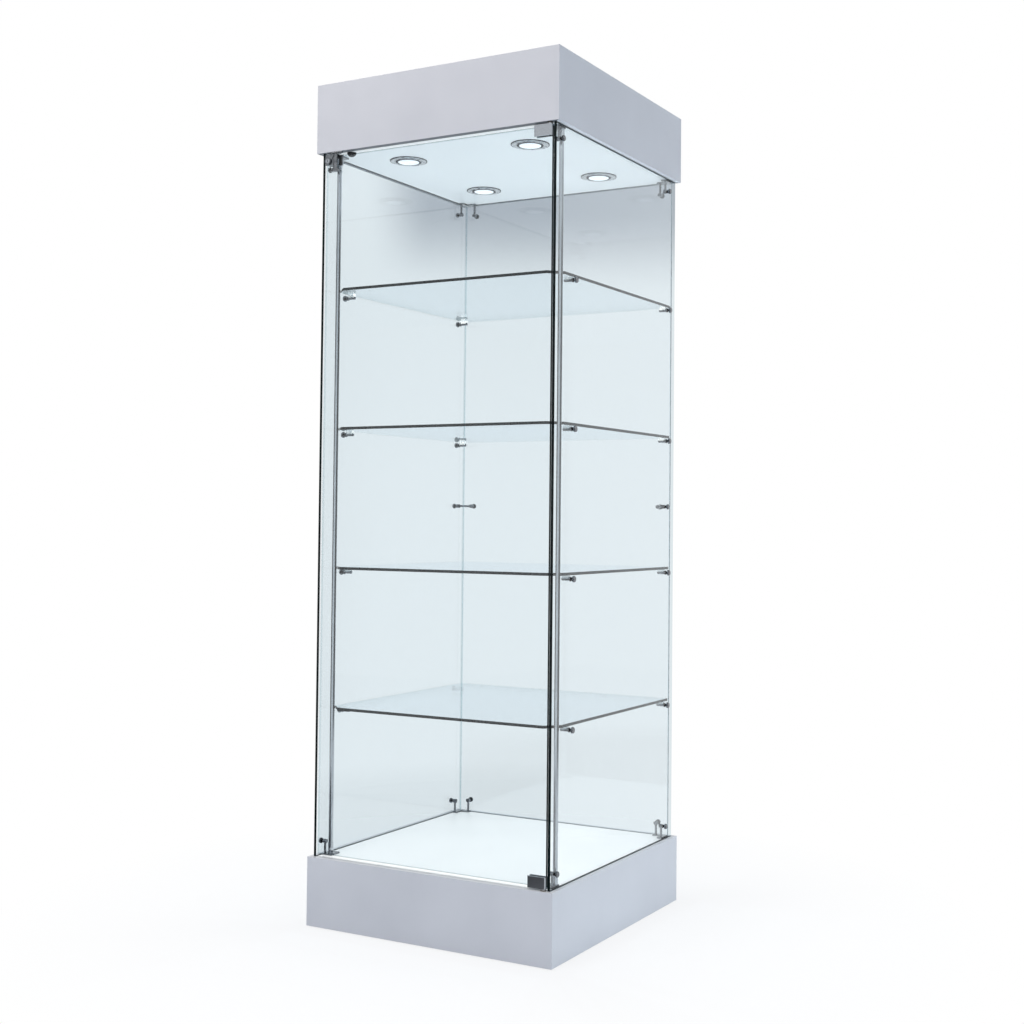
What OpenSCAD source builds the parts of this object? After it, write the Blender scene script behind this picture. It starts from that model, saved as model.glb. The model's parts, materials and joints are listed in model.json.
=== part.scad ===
// Free-standing glass display case. A plinth box and a lighted canopy box of laminated boards carry
// frameless glass walls on point fixings, two chrome corner posts, four loose glass shelves on pegs,
// and a glass door that turns on pivot pins and locks with a small bolt at its upper free corner.
// Frame: +X to the right seen from the front, +Y to the back, +Z up, origin on the floor at the centre.

/* [Overall] */
// Width of the case
case_w = 600; // [480:10:760]
// Depth of the case
case_d = 600; // [480:10:760]
// Height of the case
case_h = 1820; // [1500:10:2200]
// Height of the plinth
plinth_h = 150; // [110:5:200]
// Height of the canopy
canopy_h = 150; // [115:5:200]

/* [Boards] */
// Thickness of the boards round plinth and canopy
board_t = 16; // [13:0.5:20]
// Thickness of the deck that the goods stand on
deck_t = 16; // [12:1:20]
// Thickness of the ceiling panel
ceiling_t = 12; // [9:0.5:16]
// Thickness of the lid on the canopy
lid_t = 12; // [9:0.5:19]
// Thickness of the plinth's own floor
floor_t = 16; // [12:1:22]
// Air under the boards of the plinth
board_lift = 3; // [1:0.5:6]
// Height of the underside of the plinth's floor
floor_lift = 20; // [16:1:30]
// Side of the square blocks glued into the corners
block_w = 40; // [25:1:50]

/* [Glass] */
// Thickness of the panes
glass_t = 6; // [5:0.2:8]
// From the face of the boards to the outer face of the panes
glass_inset = 10; // [8:0.5:13]
// Gap between the back pane and the side panes
pane_gap = 1; // [0.5:0.25:3]
// Gap between the door and each side pane
door_side_gap = 3; // [2.5:0.25:5]
// Gap under and over the door's glass
door_end_gap = 7; // [6:0.5:10]

/* [Shelves] */
// Thickness of a shelf
shelf_t = 6; // [5:0.2:10]
// Gap between a shelf and each side pane
shelf_side_gap = 2; // [1:0.5:4]
// Gap between a shelf and the back pane
shelf_back_gap = 1; // [0.5:0.5:4]
// From the back of the door to the front edge of a shelf
shelf_setback = 22; // [18:1:40]
// Gap between the cut-off corner of a shelf and the post
shelf_post_gap = 1.7; // [1:0.1:4]
// From the front edge of a shelf to its front pegs
peg_from_front = 58; // [45:1:120]
// From the back edge of a shelf to its rear pegs
peg_from_back = 20; // [14:1:80]
// Diameter of a peg
peg_d = 7; // [5.5:0.5:9]
// Length of a peg inside the pane
peg_in = 20.5; // [16:0.5:30]
// Diameter of the peg's cap outside the pane
peg_cap_d = 13; // [11:0.5:18]
// Thickness of that cap
peg_cap_t = 4; // [2.5:0.5:6]
// Height of the soft pad between peg and shelf
pad_over = 3.8; // [2:0.2:6]

/* [Posts] */
// Diameter of a post
post_d = 10; // [8:0.5:14]
// Wall of a post
post_wall = 1.2; // [0.8:0.1:2]
// Gap between a post's ferrule and the side pane
post_gap = 0.2; // [0.1:0.1:3]
// From the front face of the door to the axis of a post
post_setback = 42.5; // [40:0.5:60]
// Wall of a ferrule round the post
ferrule_wall = 0.8; // [0.6:0.1:1.5]
// Height of a ferrule
ferrule_h = 20; // [14:1:30]

/* [Point fixings] */
// Thickness of a bracket's plate
plate_t = 3; // [2:0.5:4]
// Width of the arms of a rear bracket
arm_w = 12; // [10:0.5:18]
// From the corner of the panes to a rear bracket's rods
arm_l = 28; // [22:1:40]
// Diameter of a bracket's rods
rod_d = 5; // [4:0.5:6]
// From the deck or the ceiling to the studs through the panes
stud_up = 28.5; // [24:0.5:40]
// Diameter of the eyes that the studs screw into
eye_d = 9; // [8:0.5:12]
// Length of those eyes
eye_l = 8; // [6:0.5:10]
// Diameter of a stud's thread
stud_d = 4; // [3:0.5:5]
// Diameter of a stud's cap
cap_d = 12; // [10:0.5:16]
// Thickness of a stud's cap
cap_t = 4; // [2.5:0.5:6]
// From a post to the front bracket's rod
rod_from_post = 16.5; // [14:0.5:24]
// Width of a front bracket's plate
front_plate_w = 25; // [22:1:32]

/* [Hinges] */
// From the door's edge to the pivot axis
pivot_in = 6; // [5:0.5:8]
// Width of a hinge clamp
clamp_w = 41; // [32:1:60]
// Thickness of a clamp's front and back wall
clamp_wall = 3.5; // [2.5:0.5:5]
// Height of the clamp's walls beside the glass
clamp_grip = 19.5; // [14:0.5:30]
// Thickness of the web that carries the glass
clamp_web = 3.5; // [2.5:0.5:4]
// Thickness of the soft pads in a clamp
pad_t = 1; // [0.5:0.25:1.5]
// Diameter of a pivot pin
pin_d = 6; // [4:0.5:6.5]
// Length of a pivot pin below the deck's surface
pin_l = 10; // [8:0.5:14]
// Wall of a pivot bush
bush_wall = 1.45; // [1:0.05:1.5]

/* [Lock] */
// From the door's edge to the axis of the barrel
barrel_in = 9.5; // [8.5:0.5:14]
// From the door's upper edge to the axis of the barrel
barrel_down = 11.3; // [10:0.1:16]
// Diameter of the barrel
barrel_d = 10; // [8:0.5:11]
// Distance between the barrel and the bolt
bolt_pitch = 18.5; // [17:0.5:24]
// Diameter of the bolt
bolt_d = 5; // [4:0.5:6]
// From the face of the glass to the axis of the bolt
bolt_out = 4; // [3.7:0.1:4.5]
// Throw of the crank on the barrel
crank_r = 4.6; // [4:0.1:5]
// From the face of the glass to the front of the lock
lock_out = 9.7; // [9.5:0.1:9.9]
// Diameter of the finger lip at the foot of the bolt's housing
lip_d = 26; // [18:1:30]
// From the door's upper edge to the foot of the finger lip
lip_down = 35; // [30:1:48]

/* [Lights] */
// From the centre of the ceiling to the lights, across
light_x = 155; // [100:1:190]
// From the centre of the ceiling to the lights, front to back
light_y = 160; // [100:1:190]
// Outer diameter of a bezel
bezel_d = 82; // [76:1:96]
// Diameter of the clear opening in a bezel
bezel_open = 55; // [48:1:56]
// Diameter of the hole cut in the ceiling
light_hole = 68; // [66:1:72]
// Height of a lamp above the ceiling's underside
lamp_h = 46; // [40:1:60]
// Length of the driver
driver_l = 140; // [110:5:170]
// Width of the driver
driver_w = 45; // [35:1:60]
// Height of the driver
driver_h = 28; // [22:1:34]

/* [Feet] */
// Diameter of a levelling foot
foot_d = 32; // [25:1:45]
// Diameter of a foot's screw
foot_screw_d = 8; // [6:1:10]
// From the faces of the plinth to the axis of a foot
foot_in = 75; // [68:1:100]

/* [Hidden] */
$fn = 64;
// How far a cut runs past the face it starts from
cut = 1;
// Running clearance on the radius of pins, barrel and bolt
run = 0.05;

// Levels and faces of the boxes
deck_z = plinth_h;
ceil_z = case_h - canopy_h;
clear_h = ceil_z - deck_z;
half_w = case_w / 2;
half_d = case_d / 2;
in_w = half_w - board_t;
in_d = half_d - board_t;

// Faces of the panes and the door
pane_x = half_w - glass_inset;
pane_in_x = pane_x - glass_t;
pane_y = half_d - glass_inset;
pane_in_y = pane_y - glass_t;
door_front = -pane_y;
door_back = -pane_in_y;
door_x = pane_in_x - door_side_gap;
door_low = deck_z + door_end_gap;
door_high = ceil_z - door_end_gap;

// Posts and point fixings, in the corner at +X
ferrule_d = post_d + 2 * ferrule_wall;
ferrule_floor = 4;
post_x = pane_in_x - post_gap - ferrule_d / 2;
post_y = door_front + post_setback;
rod_x = pane_in_x - eye_l / 2;
rod_y = pane_in_y - eye_l / 2;
arm_x = pane_in_x - arm_l;
arm_y = pane_in_y - arm_l;
front_rod_y = post_y - rod_from_post;
plate_gap = 0.5;
stud_hole_d = stud_d + 2;
screw_d = 3.5;
screw_head_d = 7;
screw_l = 10;
rear_screw = [pane_in_x - arm_w / 2 - plate_gap, pane_in_y - arm_w / 2 - plate_gap];
front_screw = [post_x - ferrule_d / 2 - screw_head_d, front_rod_y + rod_from_post / 2];
mid_z = (deck_z + ceil_z) / 2;

// Shelves and pegs
bays = 5;
shelf_pitch = clear_h / bays;
shelf_x = pane_in_x - shelf_side_gap;
shelf_front = door_back + shelf_setback;
shelf_back = pane_in_y - shelf_back_gap;
// The cut corner is a 45 degree line that passes the post at shelf_post_gap
shelf_corner = shelf_x - post_x + post_y - shelf_front + sqrt(2) * (post_d / 2 + shelf_post_gap);
peg_front_y = shelf_front + peg_from_front;
peg_back_y = shelf_back - peg_from_back;
peg_shank_d = peg_d - 2;
peg_hole_d = peg_shank_d + 1.5;
shelf_rise = peg_d / 2 + pad_over;

// Hinges, drawn with the deck's surface as zero
pivot_x = door_x - pivot_in;
pivot_y = door_front;
clamp_low = door_end_gap - clamp_web;
clamp_t = glass_t + 2 * pad_t + 2 * clamp_wall;
clamp_y = door_front - pad_t - clamp_wall;
clamp_screw_d = 4;
clamp_head_d = 7;
clamp_head_t = 2;
clamp_screw_x = [-clamp_w / 4, clamp_w / 4];
bush_d = pin_d + 2 * bush_wall;
bush_flange_d = bush_d + 3;
bush_flange_t = 1.2;
thrust_gap = 0.1;

// Lock: the barrel's axis, the bolt's axis and the chamber between them
barrel_x = -door_x + barrel_in;
barrel_z = door_high - barrel_down;
bolt_x = barrel_x + bolt_pitch;
bolt_y = door_front - bolt_out;
lock_wall = 2;
lock_front = door_front - 6;
barrel_front = door_front - lock_out;
housing_d = barrel_d + 5;
bolt_housing_d = bolt_d + 6;
bridge_t = 2.8;
bridge_gap = 0.2;
lock_top = door_high + bridge_gap + bridge_t;
chamber_y = door_front - 3.7;
chamber_t = 2.7;
chamber_half = crank_r * sin(45) + 3.4;
crank_disc_d = 2 * crank_r + 3;
crank_disc_t = 1.2;
lip_arc_r = 30;
lip_rise = 10;
crank_pin_d = 2.4;
bolt_arm_t = 1.1;
bolt_arm_y = door_front - 2.3;
bolt_throw = 2 * crank_r * sin(45);
backplate_t = 3.5;
backplate_w = bolt_pitch + housing_d + 3;
strike_t = 1.5;
strike_hole_d = bolt_d + 1.5;
// Narrower than the board's edge on each side of the bolt
strike_half_y = 4.5;
strike_l = 30;
strike_before = 12;
stop_from_bolt = 27;
stop_r = 10;
stop_h = 9;

// Lights
bezel_t = 3.5;
bezel_tube_r = light_hole / 2 - 0.5;
bezel_tube_wall = 3;
bezel_ledge = 0.6;
// How far a bezel's tube stands above the ceiling panel
bezel_over = 4;
lens_t = 1.4;
lens_dome = 2.3;
ceiling_top = ceil_z + ceiling_t;
lamp_base_t = 4;
fin_t = 2;
fin_count = 6;
lead_d = 4;
gland_d = 14;
gland_flange_d = 22;
gland_z = ceil_z + 45;
gland_sunk = 5;

PAINT = "#c9ccd3";
WHITE = "#f1f4f5";
TIMBER = "#cdb38a";
STEEL = "#b9bec4";
CHROME = "#d9dde2";
RUBBER = "#26282b";
GLASS = [0.78, 0.88, 0.9, 0.35];

// ---------------------------------------------------------------- placing

// What is drawn for the right side, on side s (1 right, -1 left)
module side(s) {
    if (s > 0) children();
    else mirror([1, 0, 0]) children();
}

// What is drawn on the deck's surface as zero, at the deck (0) or hung from the ceiling (1)
module level(l) {
    if (l == 0) translate([0, 0, deck_z]) children();
    else translate([0, 0, ceil_z]) mirror([0, 0, 1]) children();
}

module four_corners(x, y) {
    for (sx = [-1, 1], sy = [-1, 1]) translate([sx * x, sy * y, 0]) children();
}

// A flat plate with round corners, corner at the origin
module round_plate(w, d, h, r) {
    linear_extrude(h) {
        translate([r, 0]) square([w - 2 * r, d]);
        translate([0, r]) square([w, d - 2 * r]);
        for (x = [r, w - r], y = [r, d - r]) translate([x, y]) circle(r);
    }
}

// A bar along +X from the origin
module bar_x(d, l) {
    rotate([0, 90, 0]) cylinder(d = d, h = l);
}

// A short cone along +X from the origin
module cone_x(d_start, d_end, l) {
    rotate([0, 90, 0]) cylinder(d1 = d_start, d2 = d_end, h = l);
}

// ---------------------------------------------------------------- plinth and canopy boards

// One board with mitred ends, outer face at -Y, standing on z = 0
module mitred_board(w, d, h) {
    linear_extrude(h) polygon([[-w / 2, -d / 2], [w / 2, -d / 2],
                               [w / 2 - board_t, -d / 2 + board_t], [-w / 2 + board_t, -d / 2 + board_t]]);
}

module front_board(h) {
    mitred_board(case_w, case_d, h);
}

module side_board(h) {
    rotate([0, 0, 90]) mitred_board(case_d, case_w, h);
}

// Also cut in deck and ceiling, which it reaches where the boards are thinner than the pivot needs
module pivot_hole() {
    translate([pivot_x, pivot_y, -pin_l - 2]) cylinder(d = bush_d, h = pin_l + 2 + cut);
}

module strike_hole() {
    translate([bolt_x, bolt_y, ceil_z - cut]) cylinder(d = strike_hole_d, h = bolt_throw + 4 + cut);
}

module plinth_board_place() {
    translate([0, 0, board_lift]) children();
}

module plinth_front() {
    color(PAINT) difference() {
        plinth_board_place() front_board(plinth_h - board_lift);
        level(0) pivot_hole();
    }
}

module plinth_back() {
    color(PAINT) plinth_board_place() rotate([0, 0, 180]) front_board(plinth_h - board_lift);
}

module plinth_right() {
    color(PAINT) plinth_board_place() side_board(plinth_h - board_lift);
}

module plinth_left() {
    color(PAINT) plinth_board_place() mirror([1, 0, 0]) side_board(plinth_h - board_lift);
}

module foot_spots() {
    four_corners(half_w - foot_in, half_d - foot_in) children();
}

module plinth_floor() {
    color(TIMBER) difference() {
        translate([-in_w, -in_d, floor_lift]) cube([2 * in_w, 2 * in_d, floor_t]);
        foot_spots() translate([0, 0, floor_lift - cut]) cylinder(d = foot_screw_d + 3, h = floor_t + 2 * cut);
    }
}

module corner_blocks(low, high) {
    four_corners(in_w - block_w / 2, in_d - block_w / 2) {
        translate([-block_w / 2, -block_w / 2, low]) cube([block_w, block_w, high - low]);
    }
}

module plinth_corner_blocks() {
    color(TIMBER) corner_blocks(floor_lift + floor_t, deck_z - deck_t);
}

// Pilot holes for the bracket screws, at one level
module screw_holes() {
    for (s = [-1, 1]) side(s) {
        for (p = [rear_screw, front_screw]) {
            translate([p[0], p[1], -screw_l]) cylinder(d = screw_d, h = screw_l + cut);
        }
    }
}

module deck_board() {
    color(WHITE) difference() {
        translate([-in_w, -in_d, deck_z - deck_t]) cube([2 * in_w, 2 * in_d, deck_t]);
        level(0) screw_holes();
        level(0) pivot_hole();
    }
}

module levelling_feet() {
    color(RUBBER) foot_spots() {
        cylinder(d = foot_d, h = 4);
        translate([0, 0, 4]) cylinder(d1 = foot_d, d2 = foot_d - 8, h = 3);
        translate([0, 0, 7]) cylinder(d = 1.8 * foot_screw_d, h = 4, $fn = 6);
        translate([0, 0, 11]) cylinder(d = foot_screw_d, h = floor_lift + floor_t + 4 - 11);
    }
}

module foot_inserts() {
    color(STEEL) foot_spots() difference() {
        union() {
            translate([0, 0, floor_lift]) cylinder(d = foot_screw_d + 3, h = floor_t);
            translate([0, 0, floor_lift - 1.5]) cylinder(d = foot_screw_d + 9, h = 1.5);
        }
        translate([0, 0, floor_lift - 1.5 - cut]) cylinder(d = foot_screw_d, h = floor_t + 1.5 + 2 * cut);
    }
}

module canopy_front() {
    color(PAINT) difference() {
        translate([0, 0, ceil_z]) front_board(canopy_h);
        level(1) pivot_hole();
        strike_hole();
    }
}

module canopy_back() {
    color(PAINT) difference() {
        translate([0, 0, ceil_z]) rotate([0, 0, 180]) front_board(canopy_h);
        translate([0, in_d - cut, gland_z]) rotate([-90, 0, 0]) cylinder(d = gland_d, h = board_t + 2 * cut);
        translate([0, half_d - gland_sunk, gland_z]) rotate([-90, 0, 0]) {
            cylinder(d = gland_flange_d + 2, h = gland_sunk + cut);
        }
    }
}

module canopy_right() {
    color(PAINT) translate([0, 0, ceil_z]) side_board(canopy_h);
}

module canopy_left() {
    color(PAINT) translate([0, 0, ceil_z]) mirror([1, 0, 0]) side_board(canopy_h);
}

module light_spots() {
    four_corners(light_x, light_y) children();
}

module ceiling_panel() {
    color(WHITE) difference() {
        translate([-in_w, -in_d, ceil_z]) cube([2 * in_w, 2 * in_d, ceiling_t]);
        level(1) screw_holes();
        level(1) pivot_hole();
        light_spots() translate([0, 0, ceil_z - cut]) cylinder(d = light_hole, h = ceiling_t + 2 * cut);
    }
}

module canopy_lid() {
    color(PAINT) translate([-in_w, -in_d, case_h - lid_t]) cube([2 * in_w, 2 * in_d, lid_t]);
}

module canopy_corner_blocks() {
    color(TIMBER) corner_blocks(ceiling_top, case_h - lid_t);
}

// ---------------------------------------------------------------- panes

// Where the studs pass a side pane, as [y, z]
side_studs = [[arm_y, deck_z + stud_up], [arm_y, ceil_z - stud_up], [arm_y, mid_z],
              [front_rod_y, deck_z + stud_up], [front_rod_y, ceil_z - stud_up]];
// Where they pass the back pane, as z at +arm_x and -arm_x
back_studs = [deck_z + stud_up, ceil_z - stud_up, mid_z];

module side_pane() {
    color(GLASS) difference() {
        translate([pane_in_x, -pane_y, deck_z]) cube([glass_t, 2 * pane_y, clear_h]);
        for (p = side_studs) translate([pane_in_x - cut, p[0], p[1]]) bar_x(stud_hole_d, glass_t + 2 * cut);
        for (k = [1:bays - 1], y = [peg_front_y, peg_back_y]) {
            translate([pane_in_x - cut, y, deck_z + k * shelf_pitch]) bar_x(peg_hole_d, glass_t + 2 * cut);
        }
    }
}

module glass_right() {
    side_pane();
}

module glass_left() {
    side(-1) side_pane();
}

module glass_back() {
    color(GLASS) difference() {
        translate([-pane_in_x + pane_gap, pane_in_y, deck_z]) {
            cube([2 * (pane_in_x - pane_gap), glass_t, clear_h]);
        }
        for (s = [-1, 1], z = back_studs) {
            translate([s * arm_x, pane_in_y - cut, z]) rotate([-90, 0, 0]) {
                cylinder(d = stud_hole_d, h = glass_t + 2 * cut);
            }
        }
    }
}

// ---------------------------------------------------------------- posts and point fixings

module post() {
    low = deck_z + plate_t + ferrule_floor;
    color(CHROME) translate([post_x, post_y, low]) difference() {
        cylinder(d = post_d, h = clear_h - 2 * (plate_t + ferrule_floor));
        translate([0, 0, -cut]) {
            cylinder(d = post_d - 2 * post_wall, h = clear_h - 2 * (plate_t + ferrule_floor) + 2 * cut);
        }
    }
}

module post_right() {
    post();
}

module post_left() {
    side(-1) post();
}

module post_ferrules() {
    color(CHROME) for (s = [-1, 1], l = [0, 1]) side(s) level(l) translate([post_x, post_y, plate_t]) {
        difference() {
            cylinder(d = ferrule_d, h = ferrule_h);
            translate([0, 0, ferrule_floor]) cylinder(d = post_d, h = ferrule_h);
        }
    }
}

// An upright rod with an eye at its top, the eye's axis along X towards the pane at +X
module eye_rod() {
    difference() {
        union() {
            cylinder(d = rod_d, h = stud_up);
            translate([-eye_l / 2, 0, stud_up]) bar_x(eye_d, eye_l);
        }
        translate([-eye_l / 2 + 1, 0, stud_up]) bar_x(stud_d, eye_l);
    }
}

module countersink() {
    translate([0, 0, -cut]) cylinder(d = screw_d, h = plate_t + 2 * cut);
    translate([0, 0, plate_t - 2]) cylinder(d1 = screw_d, d2 = screw_head_d, h = 2);
}

module rear_bracket() {
    ox = pane_in_x - plate_gap;
    oy = pane_in_y - plate_gap;
    reach = arm_l + rod_d / 2 + 2;
    color(CHROME) {
        difference() {
            linear_extrude(plate_t) polygon([[ox, oy], [ox - reach, oy], [ox - reach, oy - arm_w],
                                             [ox - arm_w, oy - arm_w], [ox - arm_w, oy - reach],
                                             [ox, oy - reach]]);
            translate([rear_screw[0], rear_screw[1], 0]) countersink();
        }
        translate([rod_x, arm_y, 0]) eye_rod();
        translate([arm_x, rod_y, 0]) rotate([0, 0, 90]) eye_rod();
    }
}

module rear_bracket_bottom_right() {
    level(0) rear_bracket();
}

module rear_bracket_bottom_left() {
    side(-1) level(0) rear_bracket();
}

module rear_bracket_top_right() {
    level(1) rear_bracket();
}

module rear_bracket_top_left() {
    side(-1) level(1) rear_bracket();
}

module front_bracket() {
    low_y = front_rod_y - rod_d / 2 - 4;
    high_y = post_y + ferrule_d / 2 + 3;
    color(CHROME) {
        difference() {
            translate([pane_in_x - plate_gap - front_plate_w, low_y, 0]) {
                round_plate(front_plate_w, high_y - low_y, plate_t, 3);
            }
            translate([front_screw[0], front_screw[1], 0]) countersink();
        }
        translate([rod_x, front_rod_y, 0]) eye_rod();
    }
}

module front_bracket_bottom_right() {
    level(0) front_bracket();
}

module front_bracket_bottom_left() {
    side(-1) level(0) front_bracket();
}

module front_bracket_top_right() {
    level(1) front_bracket();
}

module front_bracket_top_left() {
    side(-1) level(1) front_bracket();
}

// A straight rod between an eye at the side pane and an eye at the back pane
module mid_connector() {
    span = norm([arm_x - rod_x, rod_y - arm_y]);
    turn = atan2(rod_y - arm_y, arm_x - rod_x);
    color(CHROME) translate([0, 0, mid_z]) difference() {
        union() {
            translate([rod_x, arm_y, 0]) rotate([0, 0, turn]) bar_x(rod_d, span);
            translate([pane_in_x - eye_l, arm_y, 0]) bar_x(eye_d, eye_l);
            translate([arm_x, pane_in_y - eye_l, 0]) rotate([0, 0, 90]) bar_x(eye_d, eye_l);
        }
        translate([pane_in_x - eye_l + 1, arm_y, 0]) bar_x(stud_d, eye_l);
        translate([arm_x, pane_in_y - eye_l + 1, 0]) rotate([0, 0, 90]) bar_x(stud_d, eye_l);
    }
}

module mid_connector_right() {
    mid_connector();
}

module mid_connector_left() {
    side(-1) mid_connector();
}

// A stud with its cap outside the pane, the pane's outer face at x = 0
module stud() {
    thread = glass_t + eye_l - 1;
    translate([-thread, 0, 0]) bar_x(stud_d, thread);
    bar_x(cap_d, cap_t - 1);
    translate([cap_t - 1, 0, 0]) cone_x(cap_d, cap_d - 2, 1);
}

module glass_studs() {
    color(CHROME) for (s = [-1, 1]) side(s) {
        for (p = side_studs) translate([pane_x, p[0], p[1]]) stud();
        for (z = back_studs) translate([arm_x, pane_y, z]) rotate([0, 0, 90]) stud();
    }
}

module bracket_screw() {
    translate([0, 0, -screw_l + 1]) cylinder(d = screw_d, h = screw_l - 1 + plate_t - 2);
    difference() {
        translate([0, 0, plate_t - 2]) cylinder(d1 = screw_d, d2 = screw_head_d, h = 2);
        translate([0, 0, plate_t - 1.2]) cylinder(d = 2.6, h = 2, $fn = 6);
    }
}

module bracket_screws() {
    color(STEEL) for (s = [-1, 1], l = [0, 1], p = [rear_screw, front_screw]) {
        side(s) level(l) translate([p[0], p[1], 0]) bracket_screw();
    }
}

// ---------------------------------------------------------------- shelves

// The four peg places of a shelf on both sides, k counted from the deck
module peg_spots() {
    for (s = [-1, 1], k = [1:bays - 1], y = [peg_front_y, peg_back_y]) {
        side(s) translate([pane_x, y, deck_z + k * shelf_pitch]) children();
    }
}

module shelf_pegs() {
    color(CHROME) peg_spots() {
        bar_x(peg_cap_d, peg_cap_t - 1);
        translate([peg_cap_t - 1, 0, 0]) cone_x(peg_cap_d, peg_cap_d - 2, 1);
        translate([-glass_t, 0, 0]) bar_x(peg_shank_d, glass_t);
        translate([-glass_t - 1.5, 0, 0]) bar_x(peg_d + 3, 1.5);
        translate([-glass_t - peg_in + 1, 0, 0]) bar_x(peg_d, peg_in - 1.5);
        translate([-glass_t - peg_in, 0, 0]) cone_x(peg_d - 2, peg_d, 1);
    }
}

module shelf_pads() {
    pad_l = peg_in - 6;
    color(GLASS) peg_spots() difference() {
        translate([-glass_t - peg_in + 2, -peg_d / 2 - 1, 1]) cube([pad_l, peg_d + 2, shelf_rise - 1]);
        translate([-glass_t - peg_in, 0, 0]) bar_x(peg_d, peg_in);
    }
}

module shelf(k) {
    color(GLASS) translate([0, 0, deck_z + k * shelf_pitch + shelf_rise]) linear_extrude(shelf_t) {
        polygon([[-shelf_x + shelf_corner, shelf_front], [shelf_x - shelf_corner, shelf_front],
                 [shelf_x, shelf_front + shelf_corner], [shelf_x, shelf_back],
                 [-shelf_x, shelf_back], [-shelf_x, shelf_front + shelf_corner]]);
    }
}

module shelf_1() {
    shelf(1);
}

module shelf_2() {
    shelf(2);
}

module shelf_3() {
    shelf(3);
}

module shelf_4() {
    shelf(4);
}

// ---------------------------------------------------------------- door and hinges

module door_glass() {
    color(GLASS) translate([-door_x, door_front, door_low]) {
        cube([2 * door_x, glass_t, door_high - door_low]);
    }
}

module clamp_screw_spots() {
    for (dx = clamp_screw_x) {
        translate([door_x - clamp_w / 2 + dx, door_back + pad_t, door_end_gap + clamp_grip / 2]) children();
    }
}

module hinge_clamp() {
    color(STEEL) difference() {
        translate([door_x - clamp_w, clamp_y, clamp_low]) {
            round_plate(clamp_w, clamp_t, clamp_web + clamp_grip, 2.5);
        }
        translate([door_x - clamp_w - cut, door_front - pad_t, door_end_gap]) {
            cube([clamp_w + 2 * cut, glass_t + 2 * pad_t, clamp_grip + cut]);
        }
        translate([pivot_x, pivot_y, clamp_low - cut]) cylinder(d = pin_d, h = clamp_web + 2 * cut);
        clamp_screw_spots() rotate([-90, 0, 0]) cylinder(d = clamp_screw_d, h = clamp_wall + cut);
    }
}

module hinge_clamp_bottom() {
    level(0) hinge_clamp();
}

module hinge_clamp_top() {
    level(1) hinge_clamp();
}

module hinge_pads() {
    color(RUBBER) for (l = [0, 1], y = [door_front - pad_t, door_back]) {
        level(l) translate([door_x - clamp_w + 1, y, door_end_gap]) cube([clamp_w - 2, pad_t, clamp_grip - 1]);
    }
}

module hinge_pins() {
    shoulder_low = bush_flange_t + thrust_gap;
    color(STEEL) for (l = [0, 1]) level(l) translate([pivot_x, pivot_y, 0]) {
        translate([0, 0, -pin_l]) cylinder(d = pin_d, h = pin_l + door_end_gap);
        translate([0, 0, shoulder_low]) cylinder(d = bush_d, h = clamp_low - shoulder_low);
    }
}

module hinge_bushes() {
    color("#c8a24a") for (l = [0, 1]) level(l) translate([pivot_x, pivot_y, 0]) difference() {
        union() {
            translate([0, 0, -pin_l - 2]) cylinder(d = bush_d, h = pin_l + 2);
            cylinder(d = bush_flange_d, h = bush_flange_t);
        }
        translate([0, 0, -pin_l - 1]) cylinder(d = pin_d + 2 * run, h = pin_l + 1 + bush_flange_t + cut);
    }
}

module clamp_screw(wall) {
    rotate([-90, 0, 0]) {
        cylinder(d = clamp_screw_d, h = wall);
        translate([0, 0, wall]) difference() {
            cylinder(d = clamp_head_d, h = clamp_head_t);
            translate([0, 0, 1]) cylinder(d = 3, h = clamp_head_t, $fn = 6);
        }
    }
}

module backplate_screw_spots() {
    for (x = [barrel_x, bolt_x]) translate([x, door_back, barrel_z]) children();
}

module clamp_screws() {
    color(STEEL) {
        for (l = [0, 1]) level(l) clamp_screw_spots() clamp_screw(clamp_wall);
        backplate_screw_spots() clamp_screw(backplate_t);
    }
}

// ---------------------------------------------------------------- lock, bolt and stop

lock_left = barrel_x - housing_d / 2;
lock_right = bolt_x + bolt_housing_d / 2;
lock_low = barrel_z - chamber_half - lock_wall;

// The bell-shaped foot of the bolt's housing, with a lip for the finger
module finger_lip() {
    stem_r = bolt_housing_d / 2;
    flare = lip_d / 2 - stem_r;
    rotate_extrude() polygon(concat([[0, 0], [lip_d / 2 - 1, 0], [lip_d / 2, 1], [lip_d / 2, 2]],
                                    [for (t = [0:1/6:1]) [stem_r + flare * pow(1 - t, 2), 2 + lip_rise * t]],
                                    [[0, 2 + lip_rise]]));
}

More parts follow.
